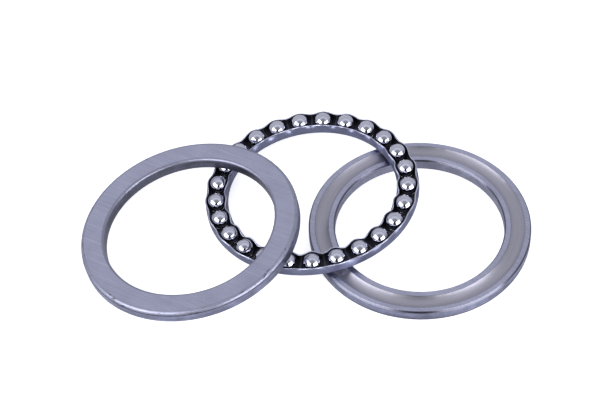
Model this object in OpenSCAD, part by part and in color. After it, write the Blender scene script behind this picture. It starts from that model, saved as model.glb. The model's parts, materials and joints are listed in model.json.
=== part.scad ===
// Single-direction thrust ball bearing, 80 x 105 x 19 mm, laid out in its three loose units:
// the shaft washer flat on the table with its raceway up, the ball-and-cage unit leaning on it,
// and the housing washer, back face up, leaning on the cage.
// The origin is the centre of the shaft washer's back face; +Z points up along its axis.

/* [Bearing size] */
// Bore of the shaft washer, the size of the shaft
bore_d = 80; // [78:0.5:81]
// Outside diameter of both washers, the size of the housing
outer_d = 105; // [105:0.5:110]
// Bore of the housing washer, which clears the shaft
housing_bore_d = 82; // [81:0.5:83]
// Height of the bearing when its three units are stacked
bearing_h = 19; // [18.5:0.1:21]
// Radius of the rounded edge between a washer's back and its outside
back_round = 1.8; // [0.6:0.1:2.2]
// Radius of the rounded edge between a washer's back and its bore
bore_round = 1.3; // [0.6:0.1:2]
// Chamfer on the two edges beside a washer's raceway face
edge_chamfer = 0.7; // [0.3:0.1:1]

/* [Balls and raceways] */
// Number of balls
ball_count = 25; // [18:1:27]
// Diameter of a ball, 11/32 inch
ball_d = 8.731; // [8:0.001:8.8]
// Diameter of the circle through the ball centres
pitch_d = 92.5; // [92.2:0.1:92.8]
// Depth of the groove in each washer
groove_depth = 1.3; // [0.8:0.05:1.6]
// Radius of the groove as a share of the ball's diameter
groove_share = 0.535; // [0.515:0.005:0.6]

/* [Cage] */
// Thickness of the pressed sheet
sheet_t = 0.6; // [0.5:0.05:0.7]
// Bore of the cage's inner wall
cage_bore_d = 81.6; // [81.4:0.1:81.8]
// Outside diameter of the cage's outer wall
cage_outer_d = 103.2; // [103:0.1:103.4]
// Height of the web below, and of the collars above, the ball centres
cage_reach = 2.7; // [2.5:0.05:2.8]
// Height of the folded lips above the ball centres
lip_reach = 1.7; // [1.5:0.05:1.9]
// Width of the channel's mouth between two balls
mouth_w = 6.1; // [5.6:0.1:6.6]
// Gap between a ball and its pocket
pocket_play = 0.25; // [0.15:0.05:0.3]
// Radius of the bends in the sheet
bend_r = 1; // [0.8:0.1:1.2]

/* [Laid-out pose] */
// Cage centre from the shaft washer's axis, along X
cage_x = -49.8; // [-50.5:0.1:-49.5]
// Cage centre from the shaft washer's axis, along Y
cage_y = 23.2; // [22.5:0.1:24.5]
// Tilt of the cage
cage_tilt = 5.5; // [5.4:0.05:5.6]
// Direction in which the cage rises, from the X axis
cage_rise = -25; // [-26.5:0.5:-23.5]
// Turn of the cage about its own axis
cage_turn = -2.7; // [-7:0.1:7]
// Housing washer centre from the shaft washer's axis, along X
housing_x = -107.8; // [-110:0.1:-107]
// Housing washer centre from the shaft washer's axis, along Y
housing_y = 1.7; // [0:0.1:3]
// Tilt of the housing washer
housing_tilt = 8.3; // [8.3:0.1:10]
// Direction in which the housing washer rises, from the X axis
housing_rise = -7.7; // [-8.5:0.1:-6.5]

/* [Hidden] */
$fn = 96;
outer_r = outer_d / 2;
pitch_r = pitch_d / 2;
ball_r = ball_d / 2;
groove_r = groove_share * ball_d;
washer_t = (bearing_h - ball_d) / 2 + groove_depth;
cage_bore_r = cage_bore_d / 2;
cage_outer_r = cage_outer_d / 2;
pocket_r = ball_r + pocket_play;
collar_r = pocket_r + sheet_t;
ball_step = 360 / ball_count;
// both leaning units touch the table with their lowest point
cage_z = ball_r + pitch_r * sin(cage_tilt);
housing_z = (outer_r - edge_chamfer) * sin(housing_tilt);
// how far a cutting shape runs past the surface that it cuts
past = 1;
washer_color = [0.62, 0.63, 0.71];
cage_color = [0.50, 0.51, 0.58];
ball_color = [0.80, 0.81, 0.88];

function ball_name(i) = str("ball_", i < 10 ? "0" : "", i);

// Puts a unit down with its X axis pointing downhill
module lean(centre, tilt, rise) {
    translate(centre) rotate([0, 0, rise + 180]) rotate([0, tilt, 0]) children();
}

// A unit's own place: the cage's ball centres lie in its local XY plane
module cage_place() {
    lean([cage_x, cage_y, cage_z], cage_tilt, cage_rise) rotate([0, 0, cage_turn]) children();
}

// The corner piece that a rounded edge takes away, for an edge at [x, 0] with the metal on the -side
module round_off(x, side, r) {
    difference() {
        translate([side > 0 ? x - r : x - past, -past]) square(r + past);
        translate([x - side * r, r]) circle(r);
    }
}

// Half section of a washer: back at Z 0, raceway face on top
module washer_section(bore_r) {
    difference() {
        translate([bore_r, 0]) square([outer_r - bore_r, washer_t]);
        round_off(outer_r, 1, back_round);
        round_off(bore_r, -1, bore_round);
        for (x = [bore_r, outer_r])
            translate([x, washer_t]) rotate(45) square(edge_chamfer * sqrt(2), center = true);
        translate([pitch_r, washer_t - groove_depth + groove_r]) circle(groove_r);
    }
}

module washer(bore_r) {
    rotate_extrude() washer_section(bore_r);
}

module shaft_washer() {
    color(washer_color) washer(bore_d / 2);
}

module housing_washer() {
    color(washer_color)
        lean([housing_x, housing_y, housing_z], housing_tilt, housing_rise)
            translate([0, 0, washer_t]) rotate([180, 0, 0]) washer(housing_bore_d / 2);
}

// A rectangle with rounded corners, given by two opposite corners
module rounded_box(low, high, r) {
    translate([low.x + r, low.y]) square([high.x - low.x - 2 * r, high.y - low.y]);
    translate([low.x, low.y + r]) square([high.x - low.x, high.y - low.y - 2 * r]);
    for (x = [low.x + r, high.x - r], y = [low.y + r, high.y - r]) translate([x, y]) circle(r);
}

// Half section of the pressed channel: web below, two walls, and lips folded in over the mouth
module channel_section() {
    difference() {
        rounded_box([cage_bore_r, -cage_reach], [cage_outer_r, lip_reach], bend_r);
        rounded_box([cage_bore_r + sheet_t, sheet_t - cage_reach],
                    [cage_outer_r - sheet_t, lip_reach - sheet_t], bend_r - sheet_t);
        translate([pitch_r - mouth_w / 2, 0]) square([mouth_w, lip_reach + past]);
    }
}

// Half section of the two bands in which the collars stand, either side of the mouth
module collar_bands() {
    translate([cage_bore_r, 0]) square([pitch_r - mouth_w / 2 - cage_bore_r, cage_reach]);
    translate([pitch_r + mouth_w / 2, 0]) square([cage_outer_r - pitch_r - mouth_w / 2, cage_reach]);
}

// A sphere at every ball's place
module at_balls(r) {
    for (i = [1:ball_count]) rotate([0, 0, -i * ball_step]) translate([pitch_r, 0, 0]) sphere(r);
}

module cage() {
    color(cage_color) cage_place() difference() {
        union() {
            rotate_extrude() channel_section();
            intersection() {
                rotate_extrude() collar_bands();
                at_balls(collar_r);
            }
        }
        at_balls(pocket_r);
    }
}

module ball(i) {
    color(ball_color) cage_place()
        rotate([0, 0, -i * ball_step]) translate([pitch_r, 0, 0]) sphere(ball_r);
}

shaft_washer();
housing_washer();
cage();
for (i = [1:ball_count]) ball(i);
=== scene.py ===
"""A single-direction thrust ball bearing in its three loose units, on a white table."""

import json
import math

import bmesh
import bpy
import numpy as np
from mathutils import Matrix, Vector


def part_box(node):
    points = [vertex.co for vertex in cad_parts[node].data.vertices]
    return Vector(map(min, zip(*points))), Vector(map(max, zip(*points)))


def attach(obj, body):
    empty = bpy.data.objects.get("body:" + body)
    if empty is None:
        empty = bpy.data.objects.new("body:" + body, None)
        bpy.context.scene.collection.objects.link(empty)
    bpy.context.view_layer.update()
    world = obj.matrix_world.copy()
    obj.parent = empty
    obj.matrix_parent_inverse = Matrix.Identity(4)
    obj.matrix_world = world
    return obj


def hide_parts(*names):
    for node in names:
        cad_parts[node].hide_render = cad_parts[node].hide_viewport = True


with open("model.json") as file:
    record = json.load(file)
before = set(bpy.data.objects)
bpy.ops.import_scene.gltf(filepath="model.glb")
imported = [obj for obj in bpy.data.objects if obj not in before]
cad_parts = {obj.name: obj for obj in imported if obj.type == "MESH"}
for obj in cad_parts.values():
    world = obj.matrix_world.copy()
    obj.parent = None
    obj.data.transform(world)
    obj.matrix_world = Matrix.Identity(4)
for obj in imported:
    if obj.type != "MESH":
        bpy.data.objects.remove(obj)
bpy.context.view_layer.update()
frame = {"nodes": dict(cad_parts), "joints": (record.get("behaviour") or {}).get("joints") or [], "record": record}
nodes, record = frame["nodes"], frame["record"]
joints = {j["name"]: j for j in frame["joints"]}
mounts = {m["name"]: m for m in record["mounts"]}
scene = bpy.context.scene
MM = 0.001

# ---------------------------------------------------------------- places, all from the frame

BALLS = sorted(n for n in nodes if n.startswith("ball_"))
cage_centre = Vector(joints["cage_spin"]["pos_m"])
cage_normal = Vector(joints["cage_spin"]["axis"]).normalized()
ball_centres = {n: Vector(joints[n + "_roll"]["pos_m"]) for n in BALLS}
pitch_r = (ball_centres[BALLS[0]] - cage_centre).length
housing_axis = Vector(mounts["housing_washer_back"]["axis"]).normalized()
housing_back = Vector(mounts["housing_washer_back"]["pos_m"])
outer_r = mounts["housing_washer_outside"]["dims"]["r_mm"] * MM
housing_bore_r = mounts["housing_washer_bore"]["dims"]["r_mm"] * MM
shaft_bore_r = mounts["shaft_washer_bore"]["dims"]["r_mm"] * MM
washer_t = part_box("shaft_washer")[1].z


def local_frame(origin, normal, towards):
    """The matrix of a frame at origin, with Z along normal and X as near to towards as it can be."""
    x = (towards - normal * towards.dot(normal)).normalized()
    y = normal.cross(x)
    m = Matrix((x, y, normal)).transposed().to_4x4()
    m.translation = origin
    return m


cage_frame = local_frame(cage_centre, cage_normal, ball_centres[BALLS[-1]] - cage_centre)
# a washer's own frame has its back at Z 0 and its raceway face at +washer_t
shaft_frame = Matrix.Identity(4)
housing_frame = local_frame(housing_back, -housing_axis, Vector((1, 0, 0)))

# ---------------------------------------------------------------- node helpers


class Nodes:
    """Builds a node tree with short calls; every socket argument is a socket or a plain value."""

    def __init__(self, tree):
        self.tree = tree
        tree.nodes.clear()

    def new(self, kind, **props):
        n = self.tree.nodes.new(kind)
        for k, v in props.items():
            setattr(n, k, v)
        return n

    def plug(self, value, socket):
        if isinstance(value, bpy.types.NodeSocket):
            self.tree.links.new(value, socket)
        else:
            socket.default_value = value

    def math(self, op, a, b=0.0):
        n = self.new("ShaderNodeMath", operation=op)
        self.plug(a, n.inputs[0])
        self.plug(b, n.inputs[1])
        return n.outputs[0]

    def mul(self, a, b):
        return self.math("MULTIPLY", a, b)

    def add(self, a, b):
        return self.math("ADD", a, b)

    def sub(self, a, b):
        return self.math("SUBTRACT", a, b)

    def noise(self, vector, scale, detail=2.0, rough=0.5):
        n = self.new("ShaderNodeTexNoise")
        self.plug(vector, n.inputs["Vector"])
        n.inputs["Scale"].default_value = scale
        n.inputs["Detail"].default_value = detail
        n.inputs["Roughness"].default_value = rough
        return n.outputs["Fac"]

    def ramp(self, value, low, high, out_low=0.0, out_high=1.0):
        n = self.new("ShaderNodeMapRange", interpolation_type="SMOOTHSTEP")
        self.plug(value, n.inputs["Value"])
        for key, v in (("From Min", low), ("From Max", high), ("To Min", out_low), ("To Max", out_high)):
            n.inputs[key].default_value = v
        return n.outputs["Result"]

    def mix(self, fac, a, b):
        n = self.new("ShaderNodeMix", data_type="RGBA")
        self.plug(fac, n.inputs["Factor"])
        self.plug(a, n.inputs["A"])
        self.plug(b, n.inputs["B"])
        return n.outputs["Result"]

    def combine(self, x, y, z):
        n = self.new("ShaderNodeCombineXYZ")
        for v, s in zip((x, y, z), n.inputs):
            self.plug(v, s)
        return n.outputs[0]

    def separate(self, vector):
        n = self.new("ShaderNodeSeparateXYZ")
        self.plug(vector, n.inputs[0])
        return n.outputs

    def stretched(self, vector, factors):
        n = self.new("ShaderNodeVectorMath", operation="MULTIPLY")
        self.plug(vector, n.inputs[0])
        n.inputs[1].default_value = factors
        return n.outputs[0]

    def around(self, ux, uy, turns, along):
        """A noise vector that changes by turns round the ring, and by along from edge to edge."""
        return self.combine(self.mul(ux, turns), self.mul(uy, turns), along)

    def relief(self, height, strength, depth_mm, bsdf):
        n = self.new("ShaderNodeBump")
        n.inputs["Strength"].default_value = strength
        n.inputs["Distance"].default_value = depth_mm * MM
        self.plug(height, n.inputs["Height"])
        self.plug(n.outputs[0], bsdf.inputs["Normal"])

    def local(self, frame_matrix):
        """The point on the surface, in the frame given, in millimetres."""
        coord = self.new("ShaderNodeTexCoord")
        n = self.new("ShaderNodeMapping", vector_type="TEXTURE")
        self.plug(coord.outputs["Object"], n.inputs["Vector"])
        n.inputs["Location"].default_value = frame_matrix.translation
        n.inputs["Rotation"].default_value = frame_matrix.to_euler()
        n.inputs["Scale"].default_value = (MM, MM, MM)
        return n.outputs[0]

    def polar(self, local):
        """Radius and height in mm, and the unit vector from the axis."""
        x, y, z = self.separate(local)
        r = self.math("SQRT", self.add(self.mul(x, x), self.mul(y, y)))
        return r, z, self.math("DIVIDE", x, r), self.math("DIVIDE", y, r)

    def band(self, value, centre, half, soft):
        """1 within half of centre, and 0 beyond half + soft."""
        distance = self.math("ABSOLUTE", self.sub(value, centre))
        return self.ramp(distance, half, half + soft, 1.0, 0.0)


def new_material(name):
    m = bpy.data.materials.new(name)
    m.use_nodes = True
    t = Nodes(m.node_tree)
    out = t.new("ShaderNodeOutputMaterial")
    bsdf = t.new("ShaderNodeBsdfPrincipled")
    t.tree.links.new(bsdf.outputs[0], out.inputs[0])
    return m, t, bsdf


# ---------------------------------------------------------------- materials


# half the width of a washer's groove, the leg of its chamfers, and how far the duller
# finish of its two rounded back edges reaches, in mm
GROOVE_HALF, CHAMFER = 3.24, 0.7
ROUND_OUT, ROUND_IN = 1.9, 1.4
# how far the straight grinding lines are turned in a washer's own frame, in degrees
GRIND_ANGLE = 35
# the darkest and the lightest tone of a bore's wall; both washers' bores are the same steel, painted lighter in
# the shaft washer, whose bore mirrors shaded floor, and painted darker as shade in the housing washer
BORE_PAINTED_LIGHTER = (0.33, 0.33, 0.41, 1), (0.50, 0.51, 0.64, 1)
BORE_PAINTED_SHADE = (0.13, 0.13, 0.16, 1), (0.21, 0.215, 0.275, 1)


def washer_material(name, matrix, bore_r, bore_tones, grind_angle, honed=False):
    """Ground steel: straight lines on the flats, a fine groove, turned walls, dark unground chamfers."""
    m, t, bsdf = new_material(name)
    bsdf.inputs["Metallic"].default_value = 1.0
    outer, thick, bore = outer_r / MM, washer_t / MM, bore_r / MM
    p = t.local(matrix)
    r, z, ux, uy = t.polar(p)
    r_and_z = t.add(r, z)
    # where each kind of surface is
    raceway_side = t.ramp(z, thick * 0.5, thick * 0.5 + 0.4)
    from_pitch = t.math("ABSOLUTE", t.sub(r, pitch_r / MM))
    groove = t.mul(t.ramp(from_pitch, GROOVE_HALF - 0.1, GROOVE_HALF, 1.0, 0.0), raceway_side)
    groove_edge = t.mul(t.band(from_pitch, GROOVE_HALF, 0.02, 0.22), raceway_side)
    wall_out = t.ramp(r, outer - 0.06, outer - 0.01)
    wall_in = t.ramp(r, bore + 0.01, bore + 0.06, 1.0, 0.0)
    wall = t.math("MAXIMUM", wall_out, wall_in)
    near_outside = t.ramp(r, outer - CHAMFER - 0.02, outer - CHAMFER + 0.05)
    near_bore = t.ramp(r, bore + CHAMFER - 0.05, bore + CHAMFER + 0.02, 1.0, 0.0)
    below_face = t.ramp(z, thick - 0.08, thick - 0.02, 1.0, 0.0)
    above_wall = t.mul(t.sub(1.0, wall), t.ramp(z, thick - CHAMFER - 0.1, thick - CHAMFER))
    chamfers = t.mul(t.mul(t.math("MAXIMUM", near_outside, near_bore), below_face), above_wall)
    # the rounded edges of the back, darker and duller, with a few dark marks on the outer one
    round_out = t.mul(t.ramp(z, 1.5, ROUND_OUT, 1.0, 0.0), t.ramp(r, outer - ROUND_OUT, outer - 1.6))
    round_in = t.mul(t.ramp(z, 1.1, ROUND_IN, 1.0, 0.0), t.ramp(r, bore + 1.1, bore + ROUND_IN, 1.0, 0.0))
    rounded = t.math("MAXIMUM", round_out, round_in)
    # straight grinding lines and a few longer scratches on the flat faces
    turn = t.new("ShaderNodeMapping", vector_type="POINT")
    t.plug(p, turn.inputs["Vector"])
    turn.inputs["Rotation"].default_value = (0, 0, math.radians(grind_angle))
    lines = t.noise(t.stretched(turn.outputs[0], (0.03, 0.95, 0.2)), 1.0, 3.0, 0.6)
    scratches = t.noise(t.stretched(turn.outputs[0], (0.016, 1.15, 0.2)), 1.0, 2.0, 0.6)
    scratches = t.ramp(scratches, 0.60, 0.70)
    # turning lines that run round the walls and the groove
    rings = t.noise(t.around(ux, uy, 1.2, t.mul(r_and_z, 1.3)), 1.0, 2.0, 0.5)
    coarse = t.noise(p, 0.08, 3.0, 0.55)
    patch = t.noise(t.around(ux, uy, 6.0, t.mul(z, 0.12)), 1.0, 3.0, 0.6)
    grain = t.noise(p, 1.6, 2.0, 0.6)
    marks = t.noise(t.around(ux, uy, 9.0, t.mul(r_and_z, 0.9)), 1.0, 3.0, 0.7)
    marks = t.mul(t.ramp(marks, 0.59, 0.64), round_out)
    # a dark line, stronger in places, where the outer rounded edge ends
    seam = t.mul(t.band(z, 1.75, 0.12, 0.3), t.ramp(r, outer - 0.5, outer - 0.3))
    seam = t.mul(seam, t.ramp(patch, 0.38, 0.52, 0.3, 0.95))
    # colour
    tone = t.add(t.mul(lines, 0.5), t.mul(coarse, 0.5))
    flat = t.mix(t.ramp(tone, 0.3, 0.7), (0.43, 0.435, 0.555, 1), (0.525, 0.535, 0.675, 1))
    flat = t.mix(t.mul(scratches, 0.4), flat, (0.72, 0.73, 0.86, 1))
    groove_tone = t.add(t.mul(rings, 0.6), t.mul(grain, 0.4))
    groove_color = t.mix(t.ramp(groove_tone, 0.3, 0.7), (0.44, 0.43, 0.485, 1), (0.50, 0.49, 0.555, 1))
    wall_tone = t.ramp(t.add(t.mul(rings, 0.35), t.mul(patch, 0.65)), 0.35, 0.68)
    wall_color = t.mix(wall_tone, (0.23, 0.235, 0.31, 1), (0.46, 0.48, 0.64, 1))
    bore_color = t.mix(wall_tone, *bore_tones)
    color = t.mix(groove, flat, groove_color)
    color = t.mix(wall_out, color, wall_color)
    color = t.mix(wall_in, color, bore_color)
    for where, share, dark in (
        (round_in, 0.6, (0.20, 0.20, 0.26, 1)),
        (round_out, 0.55, (0.26, 0.265, 0.34, 1)),
        (seam, 1.0, (0.10, 0.095, 0.11, 1)),
        (marks, 0.85, (0.07, 0.065, 0.07, 1)),
        (groove_edge, 0.55, (0.16, 0.15, 0.17, 1)),
        (chamfers, 0.8, (0.10, 0.095, 0.12, 1)),
    ):
        color = t.mix(t.mul(where, share), color, dark)
    t.plug(color, bsdf.inputs["Base Color"])
    # roughness
    rough = t.ramp(grain, 0.3, 0.7, 0.27, 0.32)
    for where, more in ((groove, 0.12), (rounded, 0.13), (wall, 0.03)):
        rough = t.add(rough, t.mul(where, more))
    t.plug(rough, bsdf.inputs["Roughness"])
    # relief: grinding lines on the flats, and turning lines on the walls and in the groove
    turned = t.math("MAXIMUM", groove, wall)
    height = t.add(t.mul(lines, t.sub(1.0, turned)), t.mul(rings, turned))
    t.relief(height, 0.12, 0.02, bsdf)
    if honed:
        # honing marks run round the ring, and draw a lamp's reflection out across the groove
        tangent = t.new("ShaderNodeTangent", direction_type="RADIAL", axis="Z")
        t.plug(tangent.outputs[0], bsdf.inputs["Tangent"])
        bsdf.inputs["Anisotropic"].default_value = 0.8
        bsdf.inputs["Anisotropic Rotation"].default_value = 0.25
    return m


def ball_material():
    """Mirror-polished steel, with a very faint cloudiness."""
    m, t, bsdf = new_material("ball_steel_polished")
    bsdf.inputs["Metallic"].default_value = 1.0
    coord = t.new("ShaderNodeTexCoord")
    n = t.noise(coord.outputs["Object"], 300.0, 3.0, 0.6)
    color = t.mix(t.ramp(n, 0.3, 0.7), (0.60, 0.605, 0.69, 1), (0.66, 0.665, 0.75, 1))
    t.plug(color, bsdf.inputs["Base Color"])
    t.plug(t.ramp(n, 0.3, 0.7, 0.04, 0.08), bsdf.inputs["Roughness"])
    return m


def cage_outside_material():
    """Satin rolled sheet, with faint cloudy patches and fine lines that run round it."""
    m, t, bsdf = new_material("cage_steel_satin")
    bsdf.inputs["Metallic"].default_value = 1.0
    p = t.local(cage_frame)
    _, z, ux, uy = t.polar(p)
    cloud = t.noise(t.around(ux, uy, 7.0, t.mul(z, 0.2)), 1.0, 3.0, 0.6)
    rolled = t.noise(t.around(ux, uy, 3.0, t.mul(z, 3.0)), 1.0, 3.0, 0.6)
    tone = t.add(t.mul(cloud, 0.7), t.mul(rolled, 0.3))
    color = t.mix(t.ramp(tone, 0.34, 0.66), (0.215, 0.225, 0.325, 1), (0.28, 0.293, 0.415, 1))
    t.plug(color, bsdf.inputs["Base Color"])
    t.plug(t.ramp(cloud, 0.3, 0.7, 0.44, 0.36), bsdf.inputs["Roughness"])
    t.relief(rolled, 0.2, 0.03, bsdf)
    return m


def cage_lip_highlight_material():
    """The rim's tip, painted brighter than the sheet as a highlight line."""
    m, t, bsdf = new_material("cage_rim_painted_highlight")
    bsdf.inputs["Metallic"].default_value = 1.0
    n = t.noise(t.local(cage_frame), 0.7, 3.0, 0.6)
    # painted highlight: colours much lighter than the rest of the sheet
    color = t.mix(t.ramp(n, 0.3, 0.7), (0.48, 0.49, 0.60, 1), (0.76, 0.78, 0.92, 1))
    t.plug(color, bsdf.inputs["Base Color"])
    t.plug(t.ramp(n, 0.3, 0.7, 0.34, 0.26), bsdf.inputs["Roughness"])
    return m


def cage_inside_material():
    """Nearly black sheet, with painted light a little lighter between the balls and a painted highlight line half
    way, where a ridge would catch light.
    """
    m, t, bsdf = new_material("cage_inside_dark")
    bsdf.inputs["Specular IOR Level"].default_value = 0.25
    p = t.local(cage_frame)
    n = t.noise(p, 0.5, 3.0, 0.6)
    _, _, ux, uy = t.polar(p)
    # cosine of the angle counted in balls: 1 at a ball and -1 half way to the next
    at_ball = t.math("COSINE", t.mul(t.math("ARCTAN2", uy, ux), float(len(BALLS))))
    # painted light: the sheet between two balls is made a little lighter, as if a bar there caught light
    between = t.ramp(at_ball, -1.0, -0.5, 1.0, 0.0)
    # painted highlight: a thin light line half way between two balls
    ridge = t.ramp(at_ball, -1.0, -0.97, 1.0, 0.0)
    color = t.mix(t.ramp(n, 0.3, 0.7), (0.010, 0.010, 0.013, 1), (0.028, 0.028, 0.036, 1))
    color = t.mix(t.mul(between, 0.5), color, (0.045, 0.046, 0.065, 1))
    color = t.mix(t.mul(ridge, 0.6), color, (0.16, 0.16, 0.21, 1))
    t.plug(color, bsdf.inputs["Base Color"])
    t.plug(t.ramp(n, 0.3, 0.7, 0.35, 0.5), bsdf.inputs["Roughness"])
    return m


def assign(obj, material):
    obj.data.materials.clear()
    obj.data.materials.append(material)


# the shaft washer's bore takes the tones painted lighter, the housing washer's bore the tones painted darker as
# shade
assign(nodes["shaft_washer"],
       washer_material("shaft_washer_steel", shaft_frame, shaft_bore_r, BORE_PAINTED_LIGHTER, GRIND_ANGLE, honed=True))
# the housing washer lies face down, so the same lines turn the other way in its own frame
assign(nodes["housing_washer"],
       washer_material("housing_washer_steel", housing_frame, housing_bore_r, BORE_PAINTED_SHADE, -GRIND_ANGLE))
ball_steel = ball_material()
for n in BALLS:
    assign(nodes[n], ball_steel)

# ---------------------------------------------------------------- the pressed cage

# the sheet's thickness, the underside of the web from the ball centres and the bend's radius, in mm
SHEET = 0.6
WEB_Z, BEND = -2.85, 0.7
# each wall's distance from the pitch circle at its foot, and where its rim is: distance and height, in mm
WALL_OUT, WALL_IN = 5.35, 5.45
RIM_OUT_AT_BALL, RIM_OUT_BETWEEN = Vector((5.35, 1.65)), Vector((4.45, 1.1))
RIM_IN_AT_BALL, RIM_IN_BETWEEN = Vector((5.25, 2.3)), Vector((4.15, 1.3))
POCKET_PLAY = 0.08
STEPS_PER_BALL = 28
# the cage's material slots; the outside is slot 0
INSIDE, LIP = 1, 2
# how many strips of faces round the rim's tip carry the painted highlight
LIP_STRIPS = 6
ball_r = (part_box(BALLS[0])[1].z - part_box(BALLS[0])[0].z) / 2 / MM


def wall_profile(side, c):
    """The outer skin of one wall from the web to the rim: offset from the pitch line and height, in mm.
    side is +1 for the outer wall and -1 for the inner one; c is 1 beside a ball and 0 between two."""
    if side > 0:
        reach, rim = WALL_OUT, RIM_OUT_BETWEEN.lerp(RIM_OUT_AT_BALL, c)
    else:
        reach, rim = WALL_IN, RIM_IN_BETWEEN.lerp(RIM_IN_AT_BALL, c)
    pts = []
    for a in np.linspace(0, math.pi / 2, 7):
        pts.append((reach - BEND + BEND * math.sin(a), WEB_Z + BEND - BEND * math.cos(a)))
    start = Vector((reach, WEB_Z + BEND + 0.1))
    bend = Vector((reach, 0.5 * (start.y + rim.y) + 0.5))
    for k in np.linspace(0, 1, 13):
        q = start * (1 - k) ** 2 + bend * 2 * k * (1 - k) + rim * k**2
        pts.append((q.x, q.y))
    return [Vector(p) for p in pts]


def thick_profile(side, c):
    """One wall and its half of the web as a section with a rounded rim, and how many of its points come
    before the inside of the sheet."""
    skin = [Vector((k, WEB_Z)) for k in (0.0, 1.5, 3.0)] + wall_profile(side, c)
    normals = []
    for i, p in enumerate(skin):
        a, b = skin[max(i - 1, 0)], skin[min(i + 1, len(skin) - 1)]
        d = (b - a).normalized()
        normals.append(Vector((-d.y, d.x)))
    inner = [p + n * SHEET for p, n in zip(skin, normals)]
    along = (skin[-1] - skin[-2]).normalized()
    middle = (skin[-1] + inner[-1]) / 2
    across = (skin[-1] - inner[-1]).normalized()
    tip = [
        middle + across * (SHEET / 2) * math.cos(a) + along * (SHEET / 2) * math.sin(a)
        for a in np.linspace(0, math.pi, 7)[1:-1]
    ]
    return skin + tip + inner[::-1], len(skin) + len(tip)


def cage_mesh():
    """The section swept round the pitch circle, with rims that crimp in and down between the balls."""
    count = STEPS_PER_BALL * len(BALLS)
    bm = bmesh.new()
    rings = []
    for i in range(count):
        angle = 2 * math.pi * i / count
        phase = 2 * math.pi * (i % STEPS_PER_BALL) / STEPS_PER_BALL
        c = (0.5 + 0.5 * math.cos(phase)) ** 0.85
        out, n_out = thick_profile(1, c)
        inn, n_in = thick_profile(-1, c)
        section = [(p.x, p.y) for p in out] + [(-p.x, p.y) for p in inn[::-1]]
        # the web's middle points are shared by both halves
        section = section[: len(out)] + section[len(out) + 1 : -1]
        ring = []
        for x, z in section:
            r = pitch_r / MM + x
            point = Vector((r * math.cos(angle) * MM, r * math.sin(angle) * MM, z * MM))
            ring.append(bm.verts.new(cage_frame @ point))
        rings.append(ring)
    n = len(rings[0])
    half, half_in = len(out), len(inn)
    tip_in = half + half_in - n_in - 1
    inside = set(range(n_out, half)) | set(range(half, tip_in))
    lip = set(range(n_out - LIP_STRIPS, n_out)) | set(range(tip_in, tip_in + LIP_STRIPS))
    for i in range(count):
        a, b = rings[i], rings[(i + 1) % count]
        for k in range(n):
            after = (k + 1) % n
            f = bm.faces.new((a[k], a[after], b[after], b[k]))
            f.smooth = True
            if k in inside and after in inside:
                f.material_index = INSIDE
            elif k in lip and after in lip:
                f.material_index = LIP
    bmesh.ops.recalc_face_normals(bm, faces=bm.faces)
    me = bpy.data.meshes.new("pressed_cage")
    bm.to_mesh(me)
    bm.free()
    return me


def ball_cutter():
    """Spheres a little larger than the balls, one at each ball's place."""
    bm = bmesh.new()
    for n in BALLS:
        bmesh.ops.create_icosphere(
            bm, subdivisions=4, radius=(ball_r + POCKET_PLAY) * MM, matrix=Matrix.Translation(ball_centres[n])
        )
    for f in bm.faces:
        f.material_index = INSIDE
    me = bpy.data.meshes.new("ball_cutter")
    bm.to_mesh(me)
    bm.free()
    return me


def cut(mesh, cutter_mesh):
    """mesh with cutter_mesh taken away from it."""
    o = bpy.data.objects.new("uncut", mesh)
    c = bpy.data.objects.new("cutter", cutter_mesh)
    for x in (o, c):
        scene.collection.objects.link(x)
    mod = o.modifiers.new("pockets", "BOOLEAN")
    mod.operation, mod.object, mod.solver = "DIFFERENCE", c, "EXACT"
    done = bpy.data.meshes.new_from_object(o.evaluated_get(bpy.context.evaluated_depsgraph_get()))
    for x in (o, c):
        bpy.data.objects.remove(x)
    return done


cage_materials = (cage_outside_material(), cage_inside_material(), cage_lip_highlight_material())
pressed, cutter = cage_mesh(), ball_cutter()
for me in (pressed, cutter):
    for material in cage_materials:
        me.materials.append(material)
cage_piece_mesh = cut(pressed, cutter)
cage_piece_mesh.name = "pressed_cage"
for poly in cage_piece_mesh.polygons:
    poly.use_smooth = True
cage_piece_mesh.set_sharp_from_angle(angle=math.radians(40))
cage_piece = bpy.data.objects.new("pressed_cage", cage_piece_mesh)
scene.collection.objects.link(cage_piece)
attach(cage_piece, "cage")
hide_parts("cage")

# ---------------------------------------------------------------- table, light, camera


def quad(name, size, z):
    me = bpy.data.meshes.new(name)
    s = size / 2
    me.from_pydata([(-s, -s, z), (s, -s, z), (s, s, z), (-s, s, z)], [], [(0, 1, 2, 3)])
    o = bpy.data.objects.new(name, me)
    scene.collection.objects.link(o)
    return o


floor = quad("table", 12.0, -0.02 * MM)
floor_mat, ft, fb = new_material("white_table")
fn = ft.noise(ft.new("ShaderNodeTexCoord").outputs["Object"], 40.0)
paper = ft.mix(ft.ramp(fn, 0.3, 0.7), (0.83, 0.83, 0.84, 1), (0.85, 0.85, 0.86, 1))
direct = ft.new("ShaderNodeLightPath").outputs["Is Camera Ray"]
# the camera sees the paper as white, and the steel mirrors a mid grey
ft.plug(ft.mix(direct, (0.50, 0.505, 0.54, 1), paper), fb.inputs["Base Color"])
ft.plug(ft.add(ft.mul(direct, 0.58), 0.12), fb.inputs["Emission Strength"])
fb.inputs["Roughness"].default_value = 0.9
fb.inputs["Emission Color"].default_value = (0.97, 0.975, 1.0, 1)
fb.inputs["Specular IOR Level"].default_value = 0.1
assign(floor, floor_mat)


def direction(azimuth, elevation):
    a, e = math.radians(azimuth), math.radians(elevation)
    return Vector((math.cos(a) * math.cos(e), math.sin(a) * math.cos(e), math.sin(e)))


# the point that the camera and the softboxes face, and the camera's place and lens
AIM = Vector((-0.05572, 0.02477, 0.0))
CAMERA_AZIMUTH, CAMERA_ELEVATION, CAMERA_ROLL = -90, 49.284, -3.416
CAMERA_DISTANCE, CAMERA_LENS = 0.8576, 106.26
SOFTBOX_DISTANCE = 1.1


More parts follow.
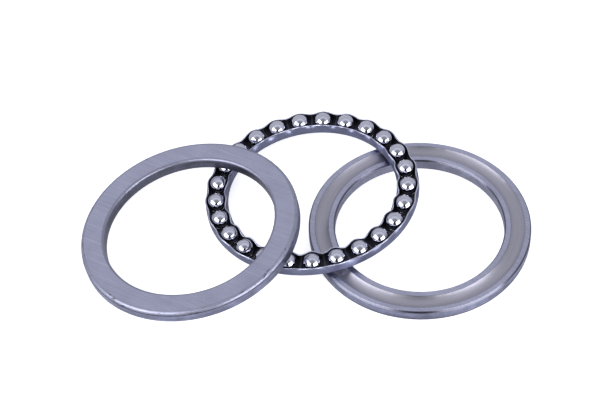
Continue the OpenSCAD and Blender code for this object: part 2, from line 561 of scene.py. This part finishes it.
def softbox(name, azimuth, elevation, width, height, power):
    """A rectangular lamp that faces AIM; its sides are in metres and its power in watts."""
    light = bpy.data.lights.new(name, "AREA")
    light.shape = "RECTANGLE"
    light.size, light.size_y = width, height
    light.energy = power
    light.color = (0.96, 0.97, 1.0)
    o = bpy.data.objects.new(name, light)
    d = direction(azimuth, elevation)
    o.location = AIM + d * SOFTBOX_DISTANCE
    o.rotation_euler = d.to_track_quat("Z", "Y").to_euler()
    scene.collection.objects.link(o)


softbox("softbox_left", -147, 30, 1.25, 0.70, 8.4)
softbox("softbox_right", -47, 20, 1.10, 0.80, 8.9)

world = bpy.data.worlds.new("studio")
scene.world = world
world.use_nodes = True
wt = Nodes(world.node_tree)
w_out = wt.new("ShaderNodeOutputWorld")
bg = wt.new("ShaderNodeBackground")
wt.tree.links.new(bg.outputs[0], w_out.inputs[0])
view_dir = direction(CAMERA_AZIMUTH, CAMERA_ELEVATION)
gen = wt.new("ShaderNodeTexCoord").outputs["Generated"]
gx, gy, gz = wt.separate(gen)
facing = wt.new("ShaderNodeVectorMath", operation="DOT_PRODUCT")
wt.plug(gen, facing.inputs[0])
facing.inputs[1].default_value = view_dir
to_camera = facing.outputs["Value"]
# a softly banded ceiling round a grey camera, a dark gap between the softboxes and a dark far corner
ceiling = wt.ramp(gz, 0.0, 0.35, 0.56, 0.70)
band = wt.mul(wt.band(to_camera, 0.55, 0.14, 0.12), 0.16)
dip = wt.mul(wt.band(to_camera, 0.28, 0.04, 0.10), 0.15)
hollow = wt.ramp(to_camera, 0.74, 0.90, 0.0, 0.32)
sky = wt.sub(wt.sub(wt.add(ceiling, band), dip), hollow)
from_middle = wt.math("ABSOLUTE", gx)
front = wt.mul(wt.ramp(from_middle, 0.20, 0.27, 1.0, 0.0), wt.ramp(gy, -0.3, -0.1, 1.0, 0.0))
front = wt.mul(front, wt.ramp(gz, 0.62, 0.80, 1.0, 0.0))
corner = wt.mul(wt.ramp(gx, 0.90, 0.95), wt.ramp(gz, 0.10, 0.25, 1.0, 0.0))
dark = wt.math("MAXIMUM", wt.mul(front, 0.94), wt.mul(corner, 0.85))
studio = wt.mul(sky, wt.sub(1.0, dark))
seen = wt.new("ShaderNodeLightPath").outputs["Is Camera Ray"]
level = wt.add(wt.mul(studio, wt.sub(1.0, seen)), seen)
wt.plug(wt.mix(seen, (0.89, 0.91, 1.0, 1), (1.0, 1.0, 1.0, 1)), bg.inputs["Color"])
wt.plug(level, bg.inputs["Strength"])

scene.view_settings.view_transform = "Standard"

cam_data = bpy.data.cameras.new("camera")
cam_data.lens = CAMERA_LENS
cam_data.sensor_width = 36.0
cam_data.clip_start = 0.01
cam_data.clip_end = 50.0
camera = bpy.data.objects.new("camera", cam_data)
scene.collection.objects.link(camera)
camera.location = AIM + view_dir * CAMERA_DISTANCE
roll = Matrix.Rotation(math.radians(CAMERA_ROLL), 3, "Z")
camera.rotation_euler = (view_dir.to_track_quat("Z", "Y").to_matrix() @ roll).to_euler()
scene.camera = camera
